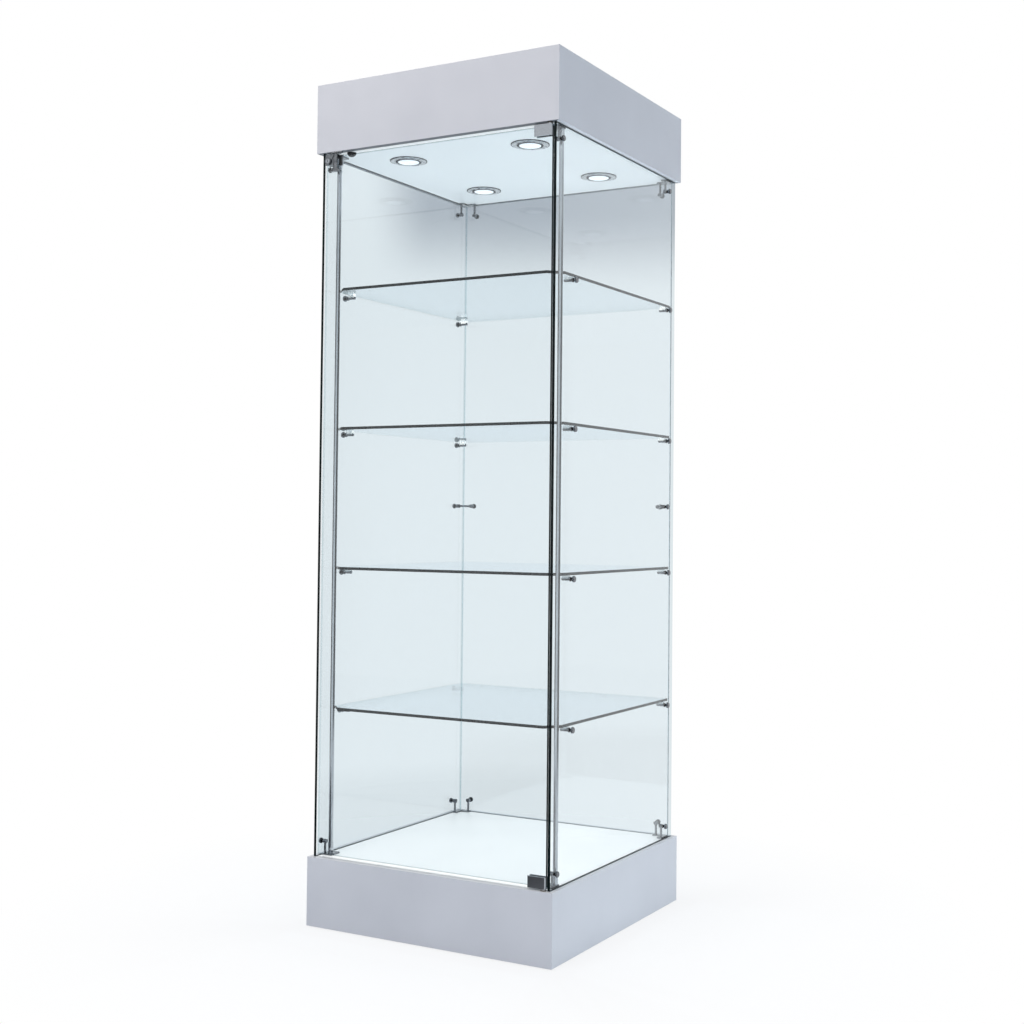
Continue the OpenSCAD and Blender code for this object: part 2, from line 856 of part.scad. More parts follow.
module lock_body() {
    low = door_high - lip_down;
    color(CHROME) difference() {
        union() {
            translate([lock_left, lock_front, lock_low]) {
                cube([lock_right - lock_left, door_front - lock_front, lock_top - lock_low]);
            }
            translate([lock_left, door_front - cut, door_high + bridge_gap]) {
                cube([lock_right - lock_left, glass_t + cut, bridge_t]);
            }
            translate([barrel_x, barrel_front, barrel_z]) rotate([-90, 0, 0]) {
                cylinder(d = housing_d, h = lock_front - barrel_front + cut);
            }
            intersection() {
                translate([bolt_x, bolt_y, low]) {
                    finger_lip();
                    cylinder(d = bolt_housing_d, h = lock_top - low);
                }
                translate([bolt_x - lip_d, door_front - lip_d, low]) cube([2 * lip_d, lip_d, lock_top - low]);
                translate([bolt_x, barrel_front + lip_arc_r, low]) cylinder(r = lip_arc_r, h = lock_top - low);
            }
        }
        translate([barrel_x, barrel_front - cut, barrel_z]) rotate([-90, 0, 0]) {
            cylinder(d = barrel_d + 2 * run, h = chamber_y - barrel_front + 2 * cut);
        }
        translate([barrel_x - crank_disc_d / 2 - 0.3, chamber_y, barrel_z - chamber_half]) {
            cube([bolt_pitch + crank_disc_d / 2 + 0.3 + bolt_d / 2, chamber_t, 2 * chamber_half]);
        }
        translate([bolt_x, bolt_y, barrel_z - chamber_half - 4]) {
            cylinder(d = bolt_d + 2 * run, h = lock_top - barrel_z + chamber_half + 4 + cut);
        }
    }
}

module lock_backplate() {
    color(STEEL) difference() {
        translate([lock_left, door_back, lock_low]) {
            cube([backplate_w, backplate_t, lock_top - lock_low]);
        }
        backplate_screw_spots() translate([0, -cut, 0]) rotate([-90, 0, 0]) {
            cylinder(d = clamp_screw_d, h = backplate_t + 2 * cut);
        }
    }
}

module lock_barrel() {
    color(CHROME) translate([barrel_x, 0, barrel_z]) difference() {
        union() {
            translate([0, barrel_front, 0]) rotate([-90, 0, 0]) {
                cylinder(d = barrel_d, h = chamber_y + 0.1 - barrel_front);
            }
            translate([0, chamber_y + 0.1, 0]) rotate([-90, 0, 0]) cylinder(d = crank_disc_d, h = crank_disc_t);
            rotate([0, 45, 0]) translate([crank_r, chamber_y + 0.1, 0]) rotate([-90, 0, 0]) {
                cylinder(d = crank_pin_d, h = crank_disc_t + 1.2);
            }
        }
        translate([-0.6, barrel_front - cut, -3]) cube([1.2, 3 + cut, 6]);
    }
}

module lock_bolt() {
    arm_z = barrel_z - crank_r * sin(45);
    slot_h = crank_pin_d + 0.6;
    slot_x = barrel_x + crank_r * cos(45) - 1.7;
    slot_w = crank_r * (1 - cos(45)) + 3.4;
    arm_left = slot_x - 1.6;
    color(STEEL) difference() {
        union() {
            translate([bolt_x, bolt_y, barrel_z - chamber_half]) {
                cylinder(d = bolt_d, h = lock_top - barrel_z + chamber_half);
            }
            translate([arm_left, bolt_arm_y, arm_z - 3]) cube([bolt_x - arm_left, bolt_arm_t, 6]);
        }
        translate([slot_x, bolt_arm_y - cut, arm_z - slot_h / 2]) cube([slot_w, bolt_arm_t + 2 * cut, slot_h]);
    }
}

module lock_strike() {
    color(STEEL) difference() {
        translate([bolt_x - strike_before, bolt_y - strike_half_y, ceil_z - strike_t]) {
            round_plate(strike_l, 2 * strike_half_y, strike_t, 2);
        }
        translate([bolt_x, bolt_y, ceil_z - strike_t - cut]) cylinder(d = strike_hole_d, h = strike_t + 2 * cut);
    }
}

module door_stop() {
    color(RUBBER) translate([bolt_x + stop_from_bolt, door_back + stop_r + 0.5, ceil_z - stop_h]) rotate_extrude() {
        polygon(concat([for (a = [0:15:75]) [stop_r * sin(a), stop_h * (1 - cos(a))]],
                       [[stop_r, stop_h - 1.5], [stop_r, stop_h], [0, stop_h]]));
    }
}

// ---------------------------------------------------------------- lights

module downlight_bezels() {
    r = bezel_d / 2;
    open_r = bezel_open / 2;
    in_r = bezel_tube_r - bezel_tube_wall;
    color(CHROME) light_spots() translate([0, 0, ceil_z]) rotate_extrude() {
        polygon([[open_r, -bezel_t + 1], [open_r + 1, -bezel_t], [r - 5, -bezel_t], [r - 1.5, -bezel_t + 1.5],
                 [r, -1], [r, 0], [bezel_tube_r, 0], [bezel_tube_r, ceiling_t + bezel_over],
                 [in_r, ceiling_t + bezel_over], [in_r, bezel_ledge], [open_r, bezel_ledge]]);
    }
}

module downlight_lenses() {
    flange_r = bezel_tube_r - bezel_tube_wall - 0.5;
    dome_r = bezel_open / 2 - 0.5;
    color("#fffdf2") light_spots() translate([0, 0, ceil_z + bezel_ledge]) rotate_extrude() {
        polygon([[0, -lens_dome], [dome_r * 0.6, -lens_dome + 0.3], [dome_r, -lens_dome + 1.1],
                 [dome_r, 0], [flange_r, 0], [flange_r, lens_t], [0, lens_t]]);
    }
}

module downlight_lamps() {
    r = bezel_tube_r - bezel_tube_wall - 0.5;
    low = ceil_z + bezel_ledge + lens_t;
    fin_pitch = (lamp_h - 14) / fin_count;
    first_fin = low + lamp_base_t - fin_t;
    color(STEEL) light_spots() {
        translate([0, 0, low]) cylinder(r = r, h = lamp_base_t);
        translate([0, 0, low]) cylinder(r = 0.6 * r, h = ceil_z + lamp_h - low);
        for (i = [1:fin_count]) translate([0, 0, first_fin + i * fin_pitch]) cylinder(r = r - 1, h = fin_t);
    }
}

// Bent leaf springs that hold each light up against the ceiling
module downlight_springs() {
    r = bezel_tube_r;
    z = ceiling_top;
    color(STEEL) light_spots() for (a = [90, 270]) rotate([0, 0, a]) {
        translate([0, 3, 0]) rotate([90, 0, 0]) linear_extrude(6) {
            polygon([[r, z + 3.6], [r + 0.8, z + 3.6], [r + 3, z + 2.8], [r + 20, z], [r + 26, z + 2.2],
                     [r + 25.6, z + 2.9], [r + 20, z + 0.8], [r + 3.4, z + 3.6], [r + 1.2, z + 4.4], [r, z + 4.4]]);
        }
    }
}

module led_driver() {
    foot = 14;
    color("#e8eaec") {
        translate([-driver_l / 2, -driver_w / 2, ceiling_top]) cube([driver_l, driver_w, driver_h]);
        difference() {
            translate([-driver_l / 2 - foot, -driver_w / 4, ceiling_top]) {
                cube([driver_l + 2 * foot, driver_w / 2, 3]);
            }
            for (s = [-1, 1]) translate([s * (driver_l / 2 + foot / 2), 0, ceiling_top - cut]) {
                cylinder(d = 4.5, h = 3 + 2 * cut);
            }
        }
    }
}

// A tube of eight sides swept along points, each ring square to the way through its point
function way(pts, i) = let (n = len(pts) - 1, d = pts[min(i + 1, n)] - pts[max(i - 1, 0)]) d / norm(d);
function square_to(t, up) = let (v = cross(t, up)) v / norm(v);
function ring(p, t, up, r) = let (u = square_to(t, up), v = cross(t, u))
    [for (j = [0:7]) p + r * (cos(45 * j) * u + sin(45 * j) * v)];

module swept(pts, up, r) {
    n = len(pts);
    points = [for (i = [0:n - 1]) each ring(pts[i], way(pts, i), up, r)];
    walls = [for (i = [0:n - 2], j = [0:7]) let (a = 8 * i + j, b = 8 * i + (j + 1) % 8) [b, a, a + 8, b + 8]];
    ends = [[for (j = [0:7]) j], [for (j = [7:-1:0]) 8 * (n - 1) + j]];
    polyhedron(points, concat(walls, ends), convexity = 4);
}

// The route of a lamp's lead from the driver's end to the top of the lamp at +X, -Y
lead_z = ceiling_top + lead_d / 2 + 0.4;
lamp_top = ceil_z + lamp_h;
lamp_route = [[driver_l / 2, -14, lead_z + 6], [driver_l / 2 + 8, -14, lead_z + 6],
              [driver_l / 2 + 20, -20, lead_z + 1], [light_x - 45, -light_y / 2 + 10, lead_z],
              [light_x - 42, -light_y + 40, lead_z], [light_x - 40, -light_y + 18, lead_z + 8],
              [light_x - 36, -light_y + 6, lead_z + 26], [light_x - 24, -light_y + 2, lamp_top + 8],
              [light_x - 10, -light_y, lamp_top + 13], [light_x - 2, -light_y, lamp_top + 11],
              [light_x, -light_y, lamp_top + 6], [light_x, -light_y, lamp_top]];
// The route of the supply lead from the gland to the driver's back
supply_route = [[0, in_d - 12, gland_z], [0, in_d - 24, gland_z], [0, in_d - 36, gland_z - 7],
                [0, in_d - 48, lead_z + 6], [0, in_d - 62, lead_z], [0, in_d / 2, lead_z],
                [0, driver_w / 2 + 30, lead_z], [0, driver_w / 2 + 16, lead_z + 4],
                [0, driver_w / 2 + 8, lead_z + 8], [0, driver_w / 2, lead_z + 8]];

module internal_leads() {
    color(RUBBER) {
        for (s = [-1, 1]) side(s) {
            swept(lamp_route, [1, 0.3, 0.05], lead_d / 2);
            mirror([0, 1, 0]) swept(lamp_route, [1, 0.3, 0.05], lead_d / 2);
        }
        swept(supply_route, [1, 0, 0], lead_d / 2);
    }
}

module supply_gland() {
    color(RUBBER) translate([0, half_d - gland_sunk, gland_z]) rotate([90, 0, 0]) difference() {
        union() {
            translate([0, 0, -3.5]) cylinder(d = gland_flange_d, h = 3.5);
            cylinder(d = gland_d, h = board_t - gland_sunk);
            translate([0, 0, board_t - gland_sunk]) cylinder(d = gland_d + 8, h = 6, $fn = 6);
            translate([0, 0, board_t - gland_sunk + 6]) cylinder(d1 = gland_d, d2 = lead_d + 4, h = 6);
        }
        translate([0, 0, -3.5 - cut]) cylinder(d = lead_d + 1, h = board_t - gland_sunk + 12 + 3.5);
    }
}

plinth_front();
plinth_back();
plinth_left();
plinth_right();
plinth_floor();
plinth_corner_blocks();
deck_board();
levelling_feet();
foot_inserts();
canopy_front();
canopy_back();
canopy_left();
canopy_right();
ceiling_panel();
canopy_lid();
canopy_corner_blocks();
glass_left();
glass_right();
glass_back();
post_left();
post_right();
post_ferrules();
front_bracket_top_left();
front_bracket_top_right();
front_bracket_bottom_left();
front_bracket_bottom_right();
rear_bracket_top_left();
rear_bracket_top_right();
rear_bracket_bottom_left();
rear_bracket_bottom_right();
mid_connector_left();
mid_connector_right();
glass_studs();
bracket_screws();
shelf_pegs();
shelf_pads();
shelf_1();
shelf_2();
shelf_3();
shelf_4();
door_glass();
hinge_clamp_top();
hinge_clamp_bottom();
hinge_pads();
hinge_pins();
hinge_bushes();
clamp_screws();
lock_body();
lock_backplate();
lock_barrel();
lock_bolt();
lock_strike();
door_stop();
downlight_bezels();
downlight_lenses();
downlight_lamps();
downlight_springs();
led_driver();
internal_leads();
supply_gland();
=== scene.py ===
# %% [markdown]
# # A free-standing glass display case
#
# The case stands 1.82 m tall on a plinth of silver-grey laminated boards. A canopy of the same boards
# holds four ceiling lights. Between them are four frameless glass walls, and the front one is a door.
# Every hard part comes from CAD already, at its true size and place. This script gives those parts their
# real finishes, and models the small things that light plays on: the eased edges of the boards, the
# ground edges of the glass, and the rims and ribbed lenses of the lights.

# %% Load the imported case
import json
import math

import bpy
from mathutils import Matrix, Vector


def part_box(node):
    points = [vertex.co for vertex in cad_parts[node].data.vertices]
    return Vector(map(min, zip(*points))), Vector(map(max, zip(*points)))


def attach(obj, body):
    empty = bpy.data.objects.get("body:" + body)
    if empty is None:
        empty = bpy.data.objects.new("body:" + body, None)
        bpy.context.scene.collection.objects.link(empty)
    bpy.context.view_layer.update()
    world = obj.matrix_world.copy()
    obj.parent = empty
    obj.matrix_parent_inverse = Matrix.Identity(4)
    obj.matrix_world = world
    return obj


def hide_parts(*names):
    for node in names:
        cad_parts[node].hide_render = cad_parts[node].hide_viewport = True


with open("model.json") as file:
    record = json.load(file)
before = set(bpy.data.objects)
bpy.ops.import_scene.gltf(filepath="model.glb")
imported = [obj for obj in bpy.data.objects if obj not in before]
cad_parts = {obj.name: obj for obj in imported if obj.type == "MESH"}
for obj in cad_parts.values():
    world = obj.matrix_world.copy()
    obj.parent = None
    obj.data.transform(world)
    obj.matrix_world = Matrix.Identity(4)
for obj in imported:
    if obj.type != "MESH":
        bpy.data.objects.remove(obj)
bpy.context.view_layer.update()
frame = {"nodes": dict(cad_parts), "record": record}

scene = bpy.context.scene
MM = 0.001
X, Y, Z = 0, 1, 2
ALONG = 0.9              # a face looks along an axis when its normal has more than this share on it

# %% [markdown]
# ## Camera
#
# The camera stands off the right front corner, near the height of the middle of the case, with a normal
# 50 mm lens. It is tilted up by less than two degrees, because a level camera keeps uprights upright, and
# rolled by half a degree, as a hand-set tripod is. The rest of the framing is a small lens shift, as on a
# shift lens, instead of more tilt.

# %% Camera
turn, tilt, roll = 28.94, 1.72, 0.52        # degrees: to the left of +Y, up, and about the lens
camera_data = bpy.data.cameras.new("camera")
camera_data.sensor_width = 36.0
camera_data.lens = 50.40
camera_data.shift_x = -0.0345
camera_data.shift_y = -0.0338
camera = bpy.data.objects.new("camera", camera_data)
scene.collection.objects.link(camera)
camera.location = (1.6469, -2.7701, 0.8761)
camera.rotation_euler = (Matrix.Rotation(math.radians(turn), 3, "Z")
                         @ Matrix.Rotation(math.radians(90 + tilt), 3, "X")
                         @ Matrix.Rotation(math.radians(roll), 3, "Z")).to_euler()
scene.camera = camera
print("camera at", [round(v, 3) for v in camera.location], "lens", round(camera_data.lens, 1))

# %% [markdown]
# ## Helpers for shader nodes
#
# A finish and the room's light are both trees of nodes. By hand one adds a node, then drags a line from
# an output to an input, or types a number into the input. These helpers are those two moves, and the few
# sums that come back again and again. They take a material or the world, because both own a node tree.

# %% Helpers for shader nodes
def node(owner, kind, **values):
    """A new node in the tree of a material or of the world."""
    made = owner.node_tree.nodes.new(kind)
    for key, value in values.items():
        setattr(made, key, value)
    return made


def feed(owner, source, target):
    """Link an output to an input, or write a plain number or colour into it."""
    if isinstance(source, bpy.types.NodeSocket):
        owner.node_tree.links.new(source, target)
    else:
        target.default_value = source


def math_node(owner, operation, *values):
    made = node(owner, "ShaderNodeMath", operation=operation)
    for slot, value in enumerate(values):
        feed(owner, value, made.inputs[slot])
    return made.outputs["Value"]


def map_range(owner, value, low, high, least=0.0, most=1.0, easing="LINEAR"):
    """Stretches low..high to least..most, and stops at both ends."""
    made = node(owner, "ShaderNodeMapRange", interpolation_type=easing)
    for name, number in (("From Min", low), ("From Max", high), ("To Min", least), ("To Max", most)):
        made.inputs[name].default_value = number
    feed(owner, value, made.inputs["Value"])
    return made.outputs["Result"]


def mixed(owner, share, first, second):
    """A mix of two shaders: the first at a share of 0, the second at 1."""
    made = node(owner, "ShaderNodeMixShader")
    for slot, value in enumerate((share, first, second)):
        feed(owner, value, made.inputs[slot])
    return made.outputs["Shader"]


print("node helpers ready")

# %% [markdown]
# ## Helpers for the finishes
#
# A real surface is never one flat colour. Laminate has a fine print, metal has polishing marks, and all
# of them have places that are a little more matt than others. Each finish here starts from a noise
# pattern in the object's own coordinates, in metres, so the pattern sits still on the piece. The noise
# then drives colour, roughness and bump. Most finishes need one pattern only, so one helper makes those.

# %% Helpers for the finishes
def new_finish(name):
    material = bpy.data.materials.new(name)
    material.use_nodes = True
    return material, material.node_tree.nodes["Principled BSDF"]


def show(material, shader):
    """Makes a shader the surface of the material."""
    feed(material, shader, material.node_tree.nodes["Material Output"].inputs["Surface"])


def grain(material, scale, detail, stretch=(1, 1, 1)):
    """A noise pattern in metres. A stretch above 1 packs it tighter on that axis, which draws streaks."""
    place = node(material, "ShaderNodeTexCoord")
    mapping = node(material, "ShaderNodeMapping")
    mapping.inputs["Scale"].default_value = stretch
    noise = node(material, "ShaderNodeTexNoise")
    noise.inputs["Scale"].default_value = scale
    noise.inputs["Detail"].default_value = detail
    feed(material, place.outputs["Object"], mapping.inputs["Vector"])
    feed(material, mapping.outputs["Vector"], noise.inputs["Vector"])
    return noise.outputs["Fac"]


def colour_by(material, pattern, bsdf, dark, light, low=0.35, high=0.65):
    ramp = node(material, "ShaderNodeValToRGB")
    for stop, place, colour in zip(ramp.color_ramp.elements, (low, high), (dark, light)):
        stop.position = place
        stop.color = (*colour, 1)
    feed(material, pattern, ramp.inputs["Fac"])
    feed(material, ramp.outputs["Color"], bsdf.inputs["Base Color"])


def roughness_by(material, pattern, bsdf, smooth, matt, low=0.3, high=0.7):
    feed(material, map_range(material, pattern, low, high, smooth, matt), bsdf.inputs["Roughness"])


def bump_by(material, pattern, bsdf, strength, depth=0.2 * MM):
    bump = node(material, "ShaderNodeBump")
    bump.inputs["Strength"].default_value = strength
    bump.inputs["Distance"].default_value = depth
    feed(material, pattern, bump.inputs["Height"])
    feed(material, bump.outputs["Normal"], bsdf.inputs["Normal"])


def grained_finish(name, scale, detail, dark, light, smooth, matt,
                   stretch=(1, 1, 1), bump=0.0, metallic=0.0, specular=0.5):
    """A finish whose colour, roughness and bump all follow one noise pattern."""
    material, bsdf = new_finish(name)
    bsdf.inputs["Metallic"].default_value = metallic
    bsdf.inputs["Specular IOR Level"].default_value = specular
    pattern = grain(material, scale, detail, stretch)
    colour_by(material, pattern, bsdf, dark, light)
    roughness_by(material, pattern, bsdf, smooth, matt)
    if bump:
        bump_by(material, pattern, bsdf, bump)
    return material


print("finish helpers ready")

# %% [markdown]
# ## Laminates and board
#
# Plinth and canopy are chipboard under a silver-grey melamine print: a very fine speckle, satin, with a
# slight texture that breaks up reflections. Narrow bands, paler than the print, cover the boards' edges;
# on the canopy's lower edges a dark grey copy of the band is painted shade. Deck and ceiling have smooth
# white melamine, and their edges are painted near black as the shadow in the joint, which draws a thin
# line round them. That finish hardly shines, so the line stays dark at a flat angle too. Bare chipboard
# shows only inside, as warm flakes of wood, for which a cell pattern is closer than soft noise.

# %% Laminates
silver_laminate, bsdf = new_finish("silver_laminate")
speckle = grain(silver_laminate, 1500, detail=2)
cloud = grain(silver_laminate, 5, detail=4)
blend = node(silver_laminate, "ShaderNodeMix", data_type="FLOAT")
blend.inputs["Factor"].default_value = 0.35
feed(silver_laminate, speckle, blend.inputs["A"])
feed(silver_laminate, cloud, blend.inputs["B"])
colour_by(silver_laminate, blend.outputs["Result"], bsdf, (0.505, 0.520, 0.562), (0.640, 0.652, 0.690))
roughness_by(silver_laminate, cloud, bsdf, 0.36, 0.48)
bump_by(silver_laminate, speckle, bsdf, 0.10)

white_laminate, bsdf = new_finish("white_laminate")
cloud = grain(white_laminate, 7, detail=5)
pearl = grain(white_laminate, 1100, detail=2)
colour_by(white_laminate, cloud, bsdf, (0.862, 0.872, 0.878), (0.898, 0.906, 0.910))
roughness_by(white_laminate, cloud, bsdf, 0.30, 0.40)
bump_by(white_laminate, pearl, bsdf, 0.06)
print("laminates:", silver_laminate.name, white_laminate.name)

# %% Edge bands, painted shade for edges and joints, bare board
edge_band = grained_finish("edge_band", 900, 2, (0.60, 0.62, 0.66), (0.74, 0.76, 0.79), 0.34, 0.46)
# Painted shade: the edge band darkened for the canopy's lower edges, which face down into shade.
painted_shade_band = grained_finish("painted_shade_band", 900, 2, (0.150, 0.165, 0.185), (0.215, 0.230, 0.250),
                            0.40, 0.52, specular=0.3)
# Painted shade: near black for the shadow in the joints round deck and ceiling and in the gap round each
# light's rim; it also colours the lights' black lip.
gap_shade_and_dark_lip = grained_finish("gap_shade_and_dark_lip", 700, 2, (0.020, 0.024, 0.028), (0.045, 0.052, 0.058),
                              0.45, 0.60, specular=0.08)

chipboard, bsdf = new_finish("chipboard")
place = node(chipboard, "ShaderNodeTexCoord")
flakes = node(chipboard, "ShaderNodeTexVoronoi")
flakes.inputs["Scale"].default_value = 260
separate = node(chipboard, "ShaderNodeSeparateColor")
feed(chipboard, place.outputs["Object"], flakes.inputs["Vector"])
feed(chipboard, flakes.outputs["Color"], separate.inputs["Color"])
colour_by(chipboard, separate.outputs["Red"], bsdf, (0.36, 0.24, 0.12), (0.66, 0.50, 0.30), 0.05, 0.95)
roughness_by(chipboard, separate.outputs["Green"], bsdf, 0.70, 0.90)
bump_by(chipboard, separate.outputs["Red"], bsdf, 0.35, depth=0.4 * MM)
print("edges and inside:", [m.name for m in (edge_band, painted_shade_band, gap_shade_and_dark_lip, chipboard)])

# %% [markdown]
# ## Glass
#
# A flat pane hardly bends the light that goes through it. What shows is a faint green-blue tint, more
# reflection at a flat angle, and a dark edge, because an edge looks into the whole width of the pane.
# Full refraction would cost many light bounces and look the same, so the faces mix a tinted transparent
# shader with a mirror. Schlick's rule gives the share of the mirror: 4 % seen straight on, rising with the
# fifth power of the facing value. The ground edges are a separate, polished, nearly black finish. An edge
# at the far side of a pane is seen from inside the glass instead, with the light coming in through it, so
# on its back the same edge is nearly clear and shows as a faint line. The back pane's edges are much
# paler:
# painted light, for the light that comes through them from behind.

# %% Helpers for glass
def glass_faces(name, tint, haze):
    """See-through faces with a mirror on them. haze is the roughness of the least well wiped places."""
    material, bsdf = new_finish(name)
    material.node_tree.nodes.remove(bsdf)
    facing = node(material, "ShaderNodeLayerWeight")
    facing.inputs["Blend"].default_value = 0.5
    clear = node(material, "ShaderNodeBsdfTransparent")
    clear.inputs["Color"].default_value = (*tint, 1)
    mirror = node(material, "ShaderNodeBsdfGlossy")
    mirror.inputs["Color"].default_value = (0.96, 0.98, 1.0, 1)
    straight_on = 0.04
    fifth = math_node(material, "POWER", facing.outputs["Facing"], 5.0)
    schlick = math_node(material, "MULTIPLY_ADD", fifth, 1 - straight_on, straight_on)
    show(material, mixed(material, schlick, clear.outputs["BSDF"], mirror.outputs["BSDF"]))
    wiped = grain(material, 9, detail=5, stretch=(1, 1, 0.4))
    roughness_by(material, wiped, mirror, 0.0, haze, low=0.45, high=0.75)
    return material


def glass_edge(name, deep, streaked, clearness):
    """A polished edge, dark from outside. clearness is how far it can be seen through from its back."""
    material, bsdf = new_finish(name)
    bsdf.inputs["Specular IOR Level"].default_value = 0.12
    streak = grain(material, 60, detail=4)
    colour_by(material, streak, bsdf, deep, streaked, low=0.40, high=0.80)
    roughness_by(material, streak, bsdf, 0.08, 0.22)
    clear = node(material, "ShaderNodeBsdfTransparent")
    clear.inputs["Color"].default_value = (0.86, 0.93, 0.95, 1)
    side = node(material, "ShaderNodeNewGeometry")
    share = math_node(material, "MULTIPLY", side.outputs["Backfacing"], clearness)
    show(material, mixed(material, share, bsdf.outputs["BSDF"], clear.outputs["BSDF"]))
    return material


print("glass helpers ready")

# %% Glass
pane_glass = glass_faces("pane_glass", tint=(0.930, 0.955, 0.966), haze=0.05)
shelf_glass = glass_faces("shelf_glass", tint=(0.942, 0.963, 0.971), haze=0.04)
pane_edge = glass_edge("pane_edge", (0.0015, 0.004, 0.005), (0.006, 0.015, 0.016), clearness=0.88)
# Painted light: the back pane's edges are coloured pale for the light that comes through them from behind.
back_edge_painted_light = glass_edge("back_edge_painted_light", (0.22, 0.28, 0.30), (0.40, 0.47, 0.49), clearness=0.88)
shelf_edge = glass_edge("shelf_edge", (0.0012, 0.003, 0.004), (0.005, 0.012, 0.013), clearness=0.90)
print("glass:", [m.name for m in (pane_glass, shelf_glass, pane_edge, back_edge_painted_light, shelf_edge)])

# %% [markdown]
# ## Metals
#
# Posts and their ferrules are bright chrome: a mirror with a trace of wiping marks. Brackets, connectors,
# studs, pegs and the body of the lock are chrome painted far darker than real chrome: a painted dark
# reflection of the surroundings they mirror. The hinge clamps and the key barrel are satin chrome, brushed
# in one direction, and the rims of the lights are spun nickel. Screws, bolt and plates are zinc-plated
# steel, a little cloudy. The bushes are sintered bronze, dark with the oil in it, and the lamps in the
# canopy are cast aluminium. A stretched pattern draws the brushing: packed tighter across the strokes than
# along them.

# %% Metals
bright_chrome = grained_finish("bright_chrome", 40, 4, (0.44, 0.46, 0.495), (0.56, 0.58, 0.61),
                               0.04, 0.12, stretch=(1, 1, 0.25), metallic=1.0)
# Painted reflection: a chrome far darker than real, for the dark surroundings that the small fittings
# mirror.
chrome_painted_dark = grained_finish("chrome_painted_dark", 160, 4, (0.12, 0.130, 0.145), (0.23, 0.245, 0.265),
                              0.06, 0.16, metallic=1.0)
satin_chrome = grained_finish("satin_chrome", 420, 4, (0.36, 0.388, 0.425), (0.44, 0.472, 0.515),
                              0.15, 0.22, stretch=(1, 1, 5), bump=0.08, metallic=1.0)
spun_nickel = grained_finish("spun_nickel", 90, 5, (0.46, 0.475, 0.50), (0.66, 0.675, 0.70),
                             0.22, 0.36, stretch=(1, 1, 6), metallic=1.0)
zinc_steel = grained_finish("zinc_steel", 300, 4, (0.42, 0.43, 0.45), (0.62, 0.63, 0.65),
                            0.26, 0.42, metallic=1.0)
bush_bronze = grained_finish("bush_bronze", 1800, 2, (0.085, 0.062, 0.042), (0.160, 0.115, 0.074),
                             0.38, 0.55, metallic=1.0)
cast_aluminium = grained_finish("cast_aluminium", 1200, 3, (0.60, 0.61, 0.62), (0.72, 0.73, 0.74),
                                0.42, 0.58, bump=0.2, metallic=1.0)
metals = (bright_chrome, chrome_painted_dark, satin_chrome, spun_nickel, zinc_steel, bush_bronze, cast_aluminium)
print("metals:", [m.name for m in metals])

# %% [markdown]
# ## Rubber, plastics and the lit lens
#
# The door stop and the pads in the clamps are black rubber, which has a dry, fine-grained skin. The feet,
# the leads and the gland are black plastic, a little smoother, and the driver's case is a white one. The
# pads that carry the shelves are clear silicone: soft, a little milky, so part of the light goes through.
# The lens of a light is frosted and glows evenly. Its glow stays below white, so that the rings moulded
# into it still show.

# %% Rubber, plastics and the lit lens
black_rubber = grained_finish("black_rubber", 1600, 3, (0.010, 0.010, 0.011), (0.034, 0.034, 0.036),
                              0.55, 0.75, bump=0.25, specular=0.25)
black_plastic = grained_finish("black_plastic", 1100, 3, (0.016, 0.016, 0.018), (0.040, 0.040, 0.043),
                               0.34, 0.50, bump=0.12)
white_plastic = grained_finish("white_plastic", 900, 3, (0.78, 0.79, 0.80), (0.86, 0.87, 0.88),
                               0.34, 0.46, bump=0.10)
clear_silicone = grained_finish("clear_silicone", 500, 3, (0.60, 0.66, 0.67), (0.80, 0.85, 0.86),
                                0.16, 0.32)
clear_silicone.node_tree.nodes["Principled BSDF"].inputs["Alpha"].default_value = 0.42
lit_lens = grained_finish("lit_lens", 700, 3, (0.80, 0.82, 0.84), (0.92, 0.94, 0.95), 0.25, 0.40)
lens_bsdf = lit_lens.node_tree.nodes["Principled BSDF"]
lens_bsdf.inputs["Emission Color"].default_value = (0.97, 0.985, 1.0, 1)
lens_bsdf.inputs["Emission Strength"].default_value = 0.38
soft_or_lit = (black_rubber, black_plastic, white_plastic, clear_silicone, lit_lens)
print("soft or lit:", [m.name for m in soft_or_lit])

# %% [markdown]
# ## Finishes on the CAD nodes
#
# The record says which finish slot each node belongs to. One small table turns a slot into the finish
# made above, so no node can be forgotten. The small fittings share a slot with bigger ones, so they are
# picked by the start of their names and get the chrome painted dark, as a painted dark reflection.

# %% Finishes on the CAD nodes
finish_of_slot = {
    "grey_laminate": silver_laminate, "white_laminate": white_laminate, "raw_board": chipboard,
    "pane_glass": pane_glass, "door_pane_glass": pane_glass, "shelf_glass": shelf_glass,
    "chrome": bright_chrome, "steel": zinc_steel, "satin_chrome": satin_chrome,
    "clear_silicone": clear_silicone, "black_rubber": black_rubber, "black_plastic": black_plastic,
    "bronze": bush_bronze, "lens": lit_lens, "lamp_aluminium": cast_aluminium,
    "white_plastic": white_plastic,
}
small_fittings = ("front_bracket", "rear_bracket", "mid_connector", "glass_studs", "shelf_pegs",
                  "lock_body")
slot_of_node = {part["node"]: part["material_slot"] for part in frame["record"]["subparts"]}
for name, cad_node in frame["nodes"].items():
    finish = chrome_painted_dark if name.startswith(small_fittings) else finish_of_slot[slot_of_node[name]]
    cad_node.data.materials.clear()
    cad_node.data.materials.append(finish)
print("finished", len(frame["nodes"]), "nodes from", len(finish_of_slot), "slots")

# %% [markdown]
# ## Eased edges
#
# No real board, pane or casting has a razor edge. A board's edge is broken by less than half a
# millimetre, glass gets a ground arris of about one, a casting is rounder. That thin line catches the
# light and tells the eye how big the thing is. The way by hand is to copy the piece, join its loose
# triangles, and give it a bevel that works only on sharp edges. Smooth shading alone would bend the light
# across the big flat faces, so the normals are weighted by face area after it. The CAD node itself stays
# as it is, for the motion, and the copy stands for it.

# %% Helper for eased copies
def select_only(piece):
    bpy.ops.object.select_all(action="DESELECT")
    piece.select_set(True)
    bpy.context.view_layer.objects.active = piece


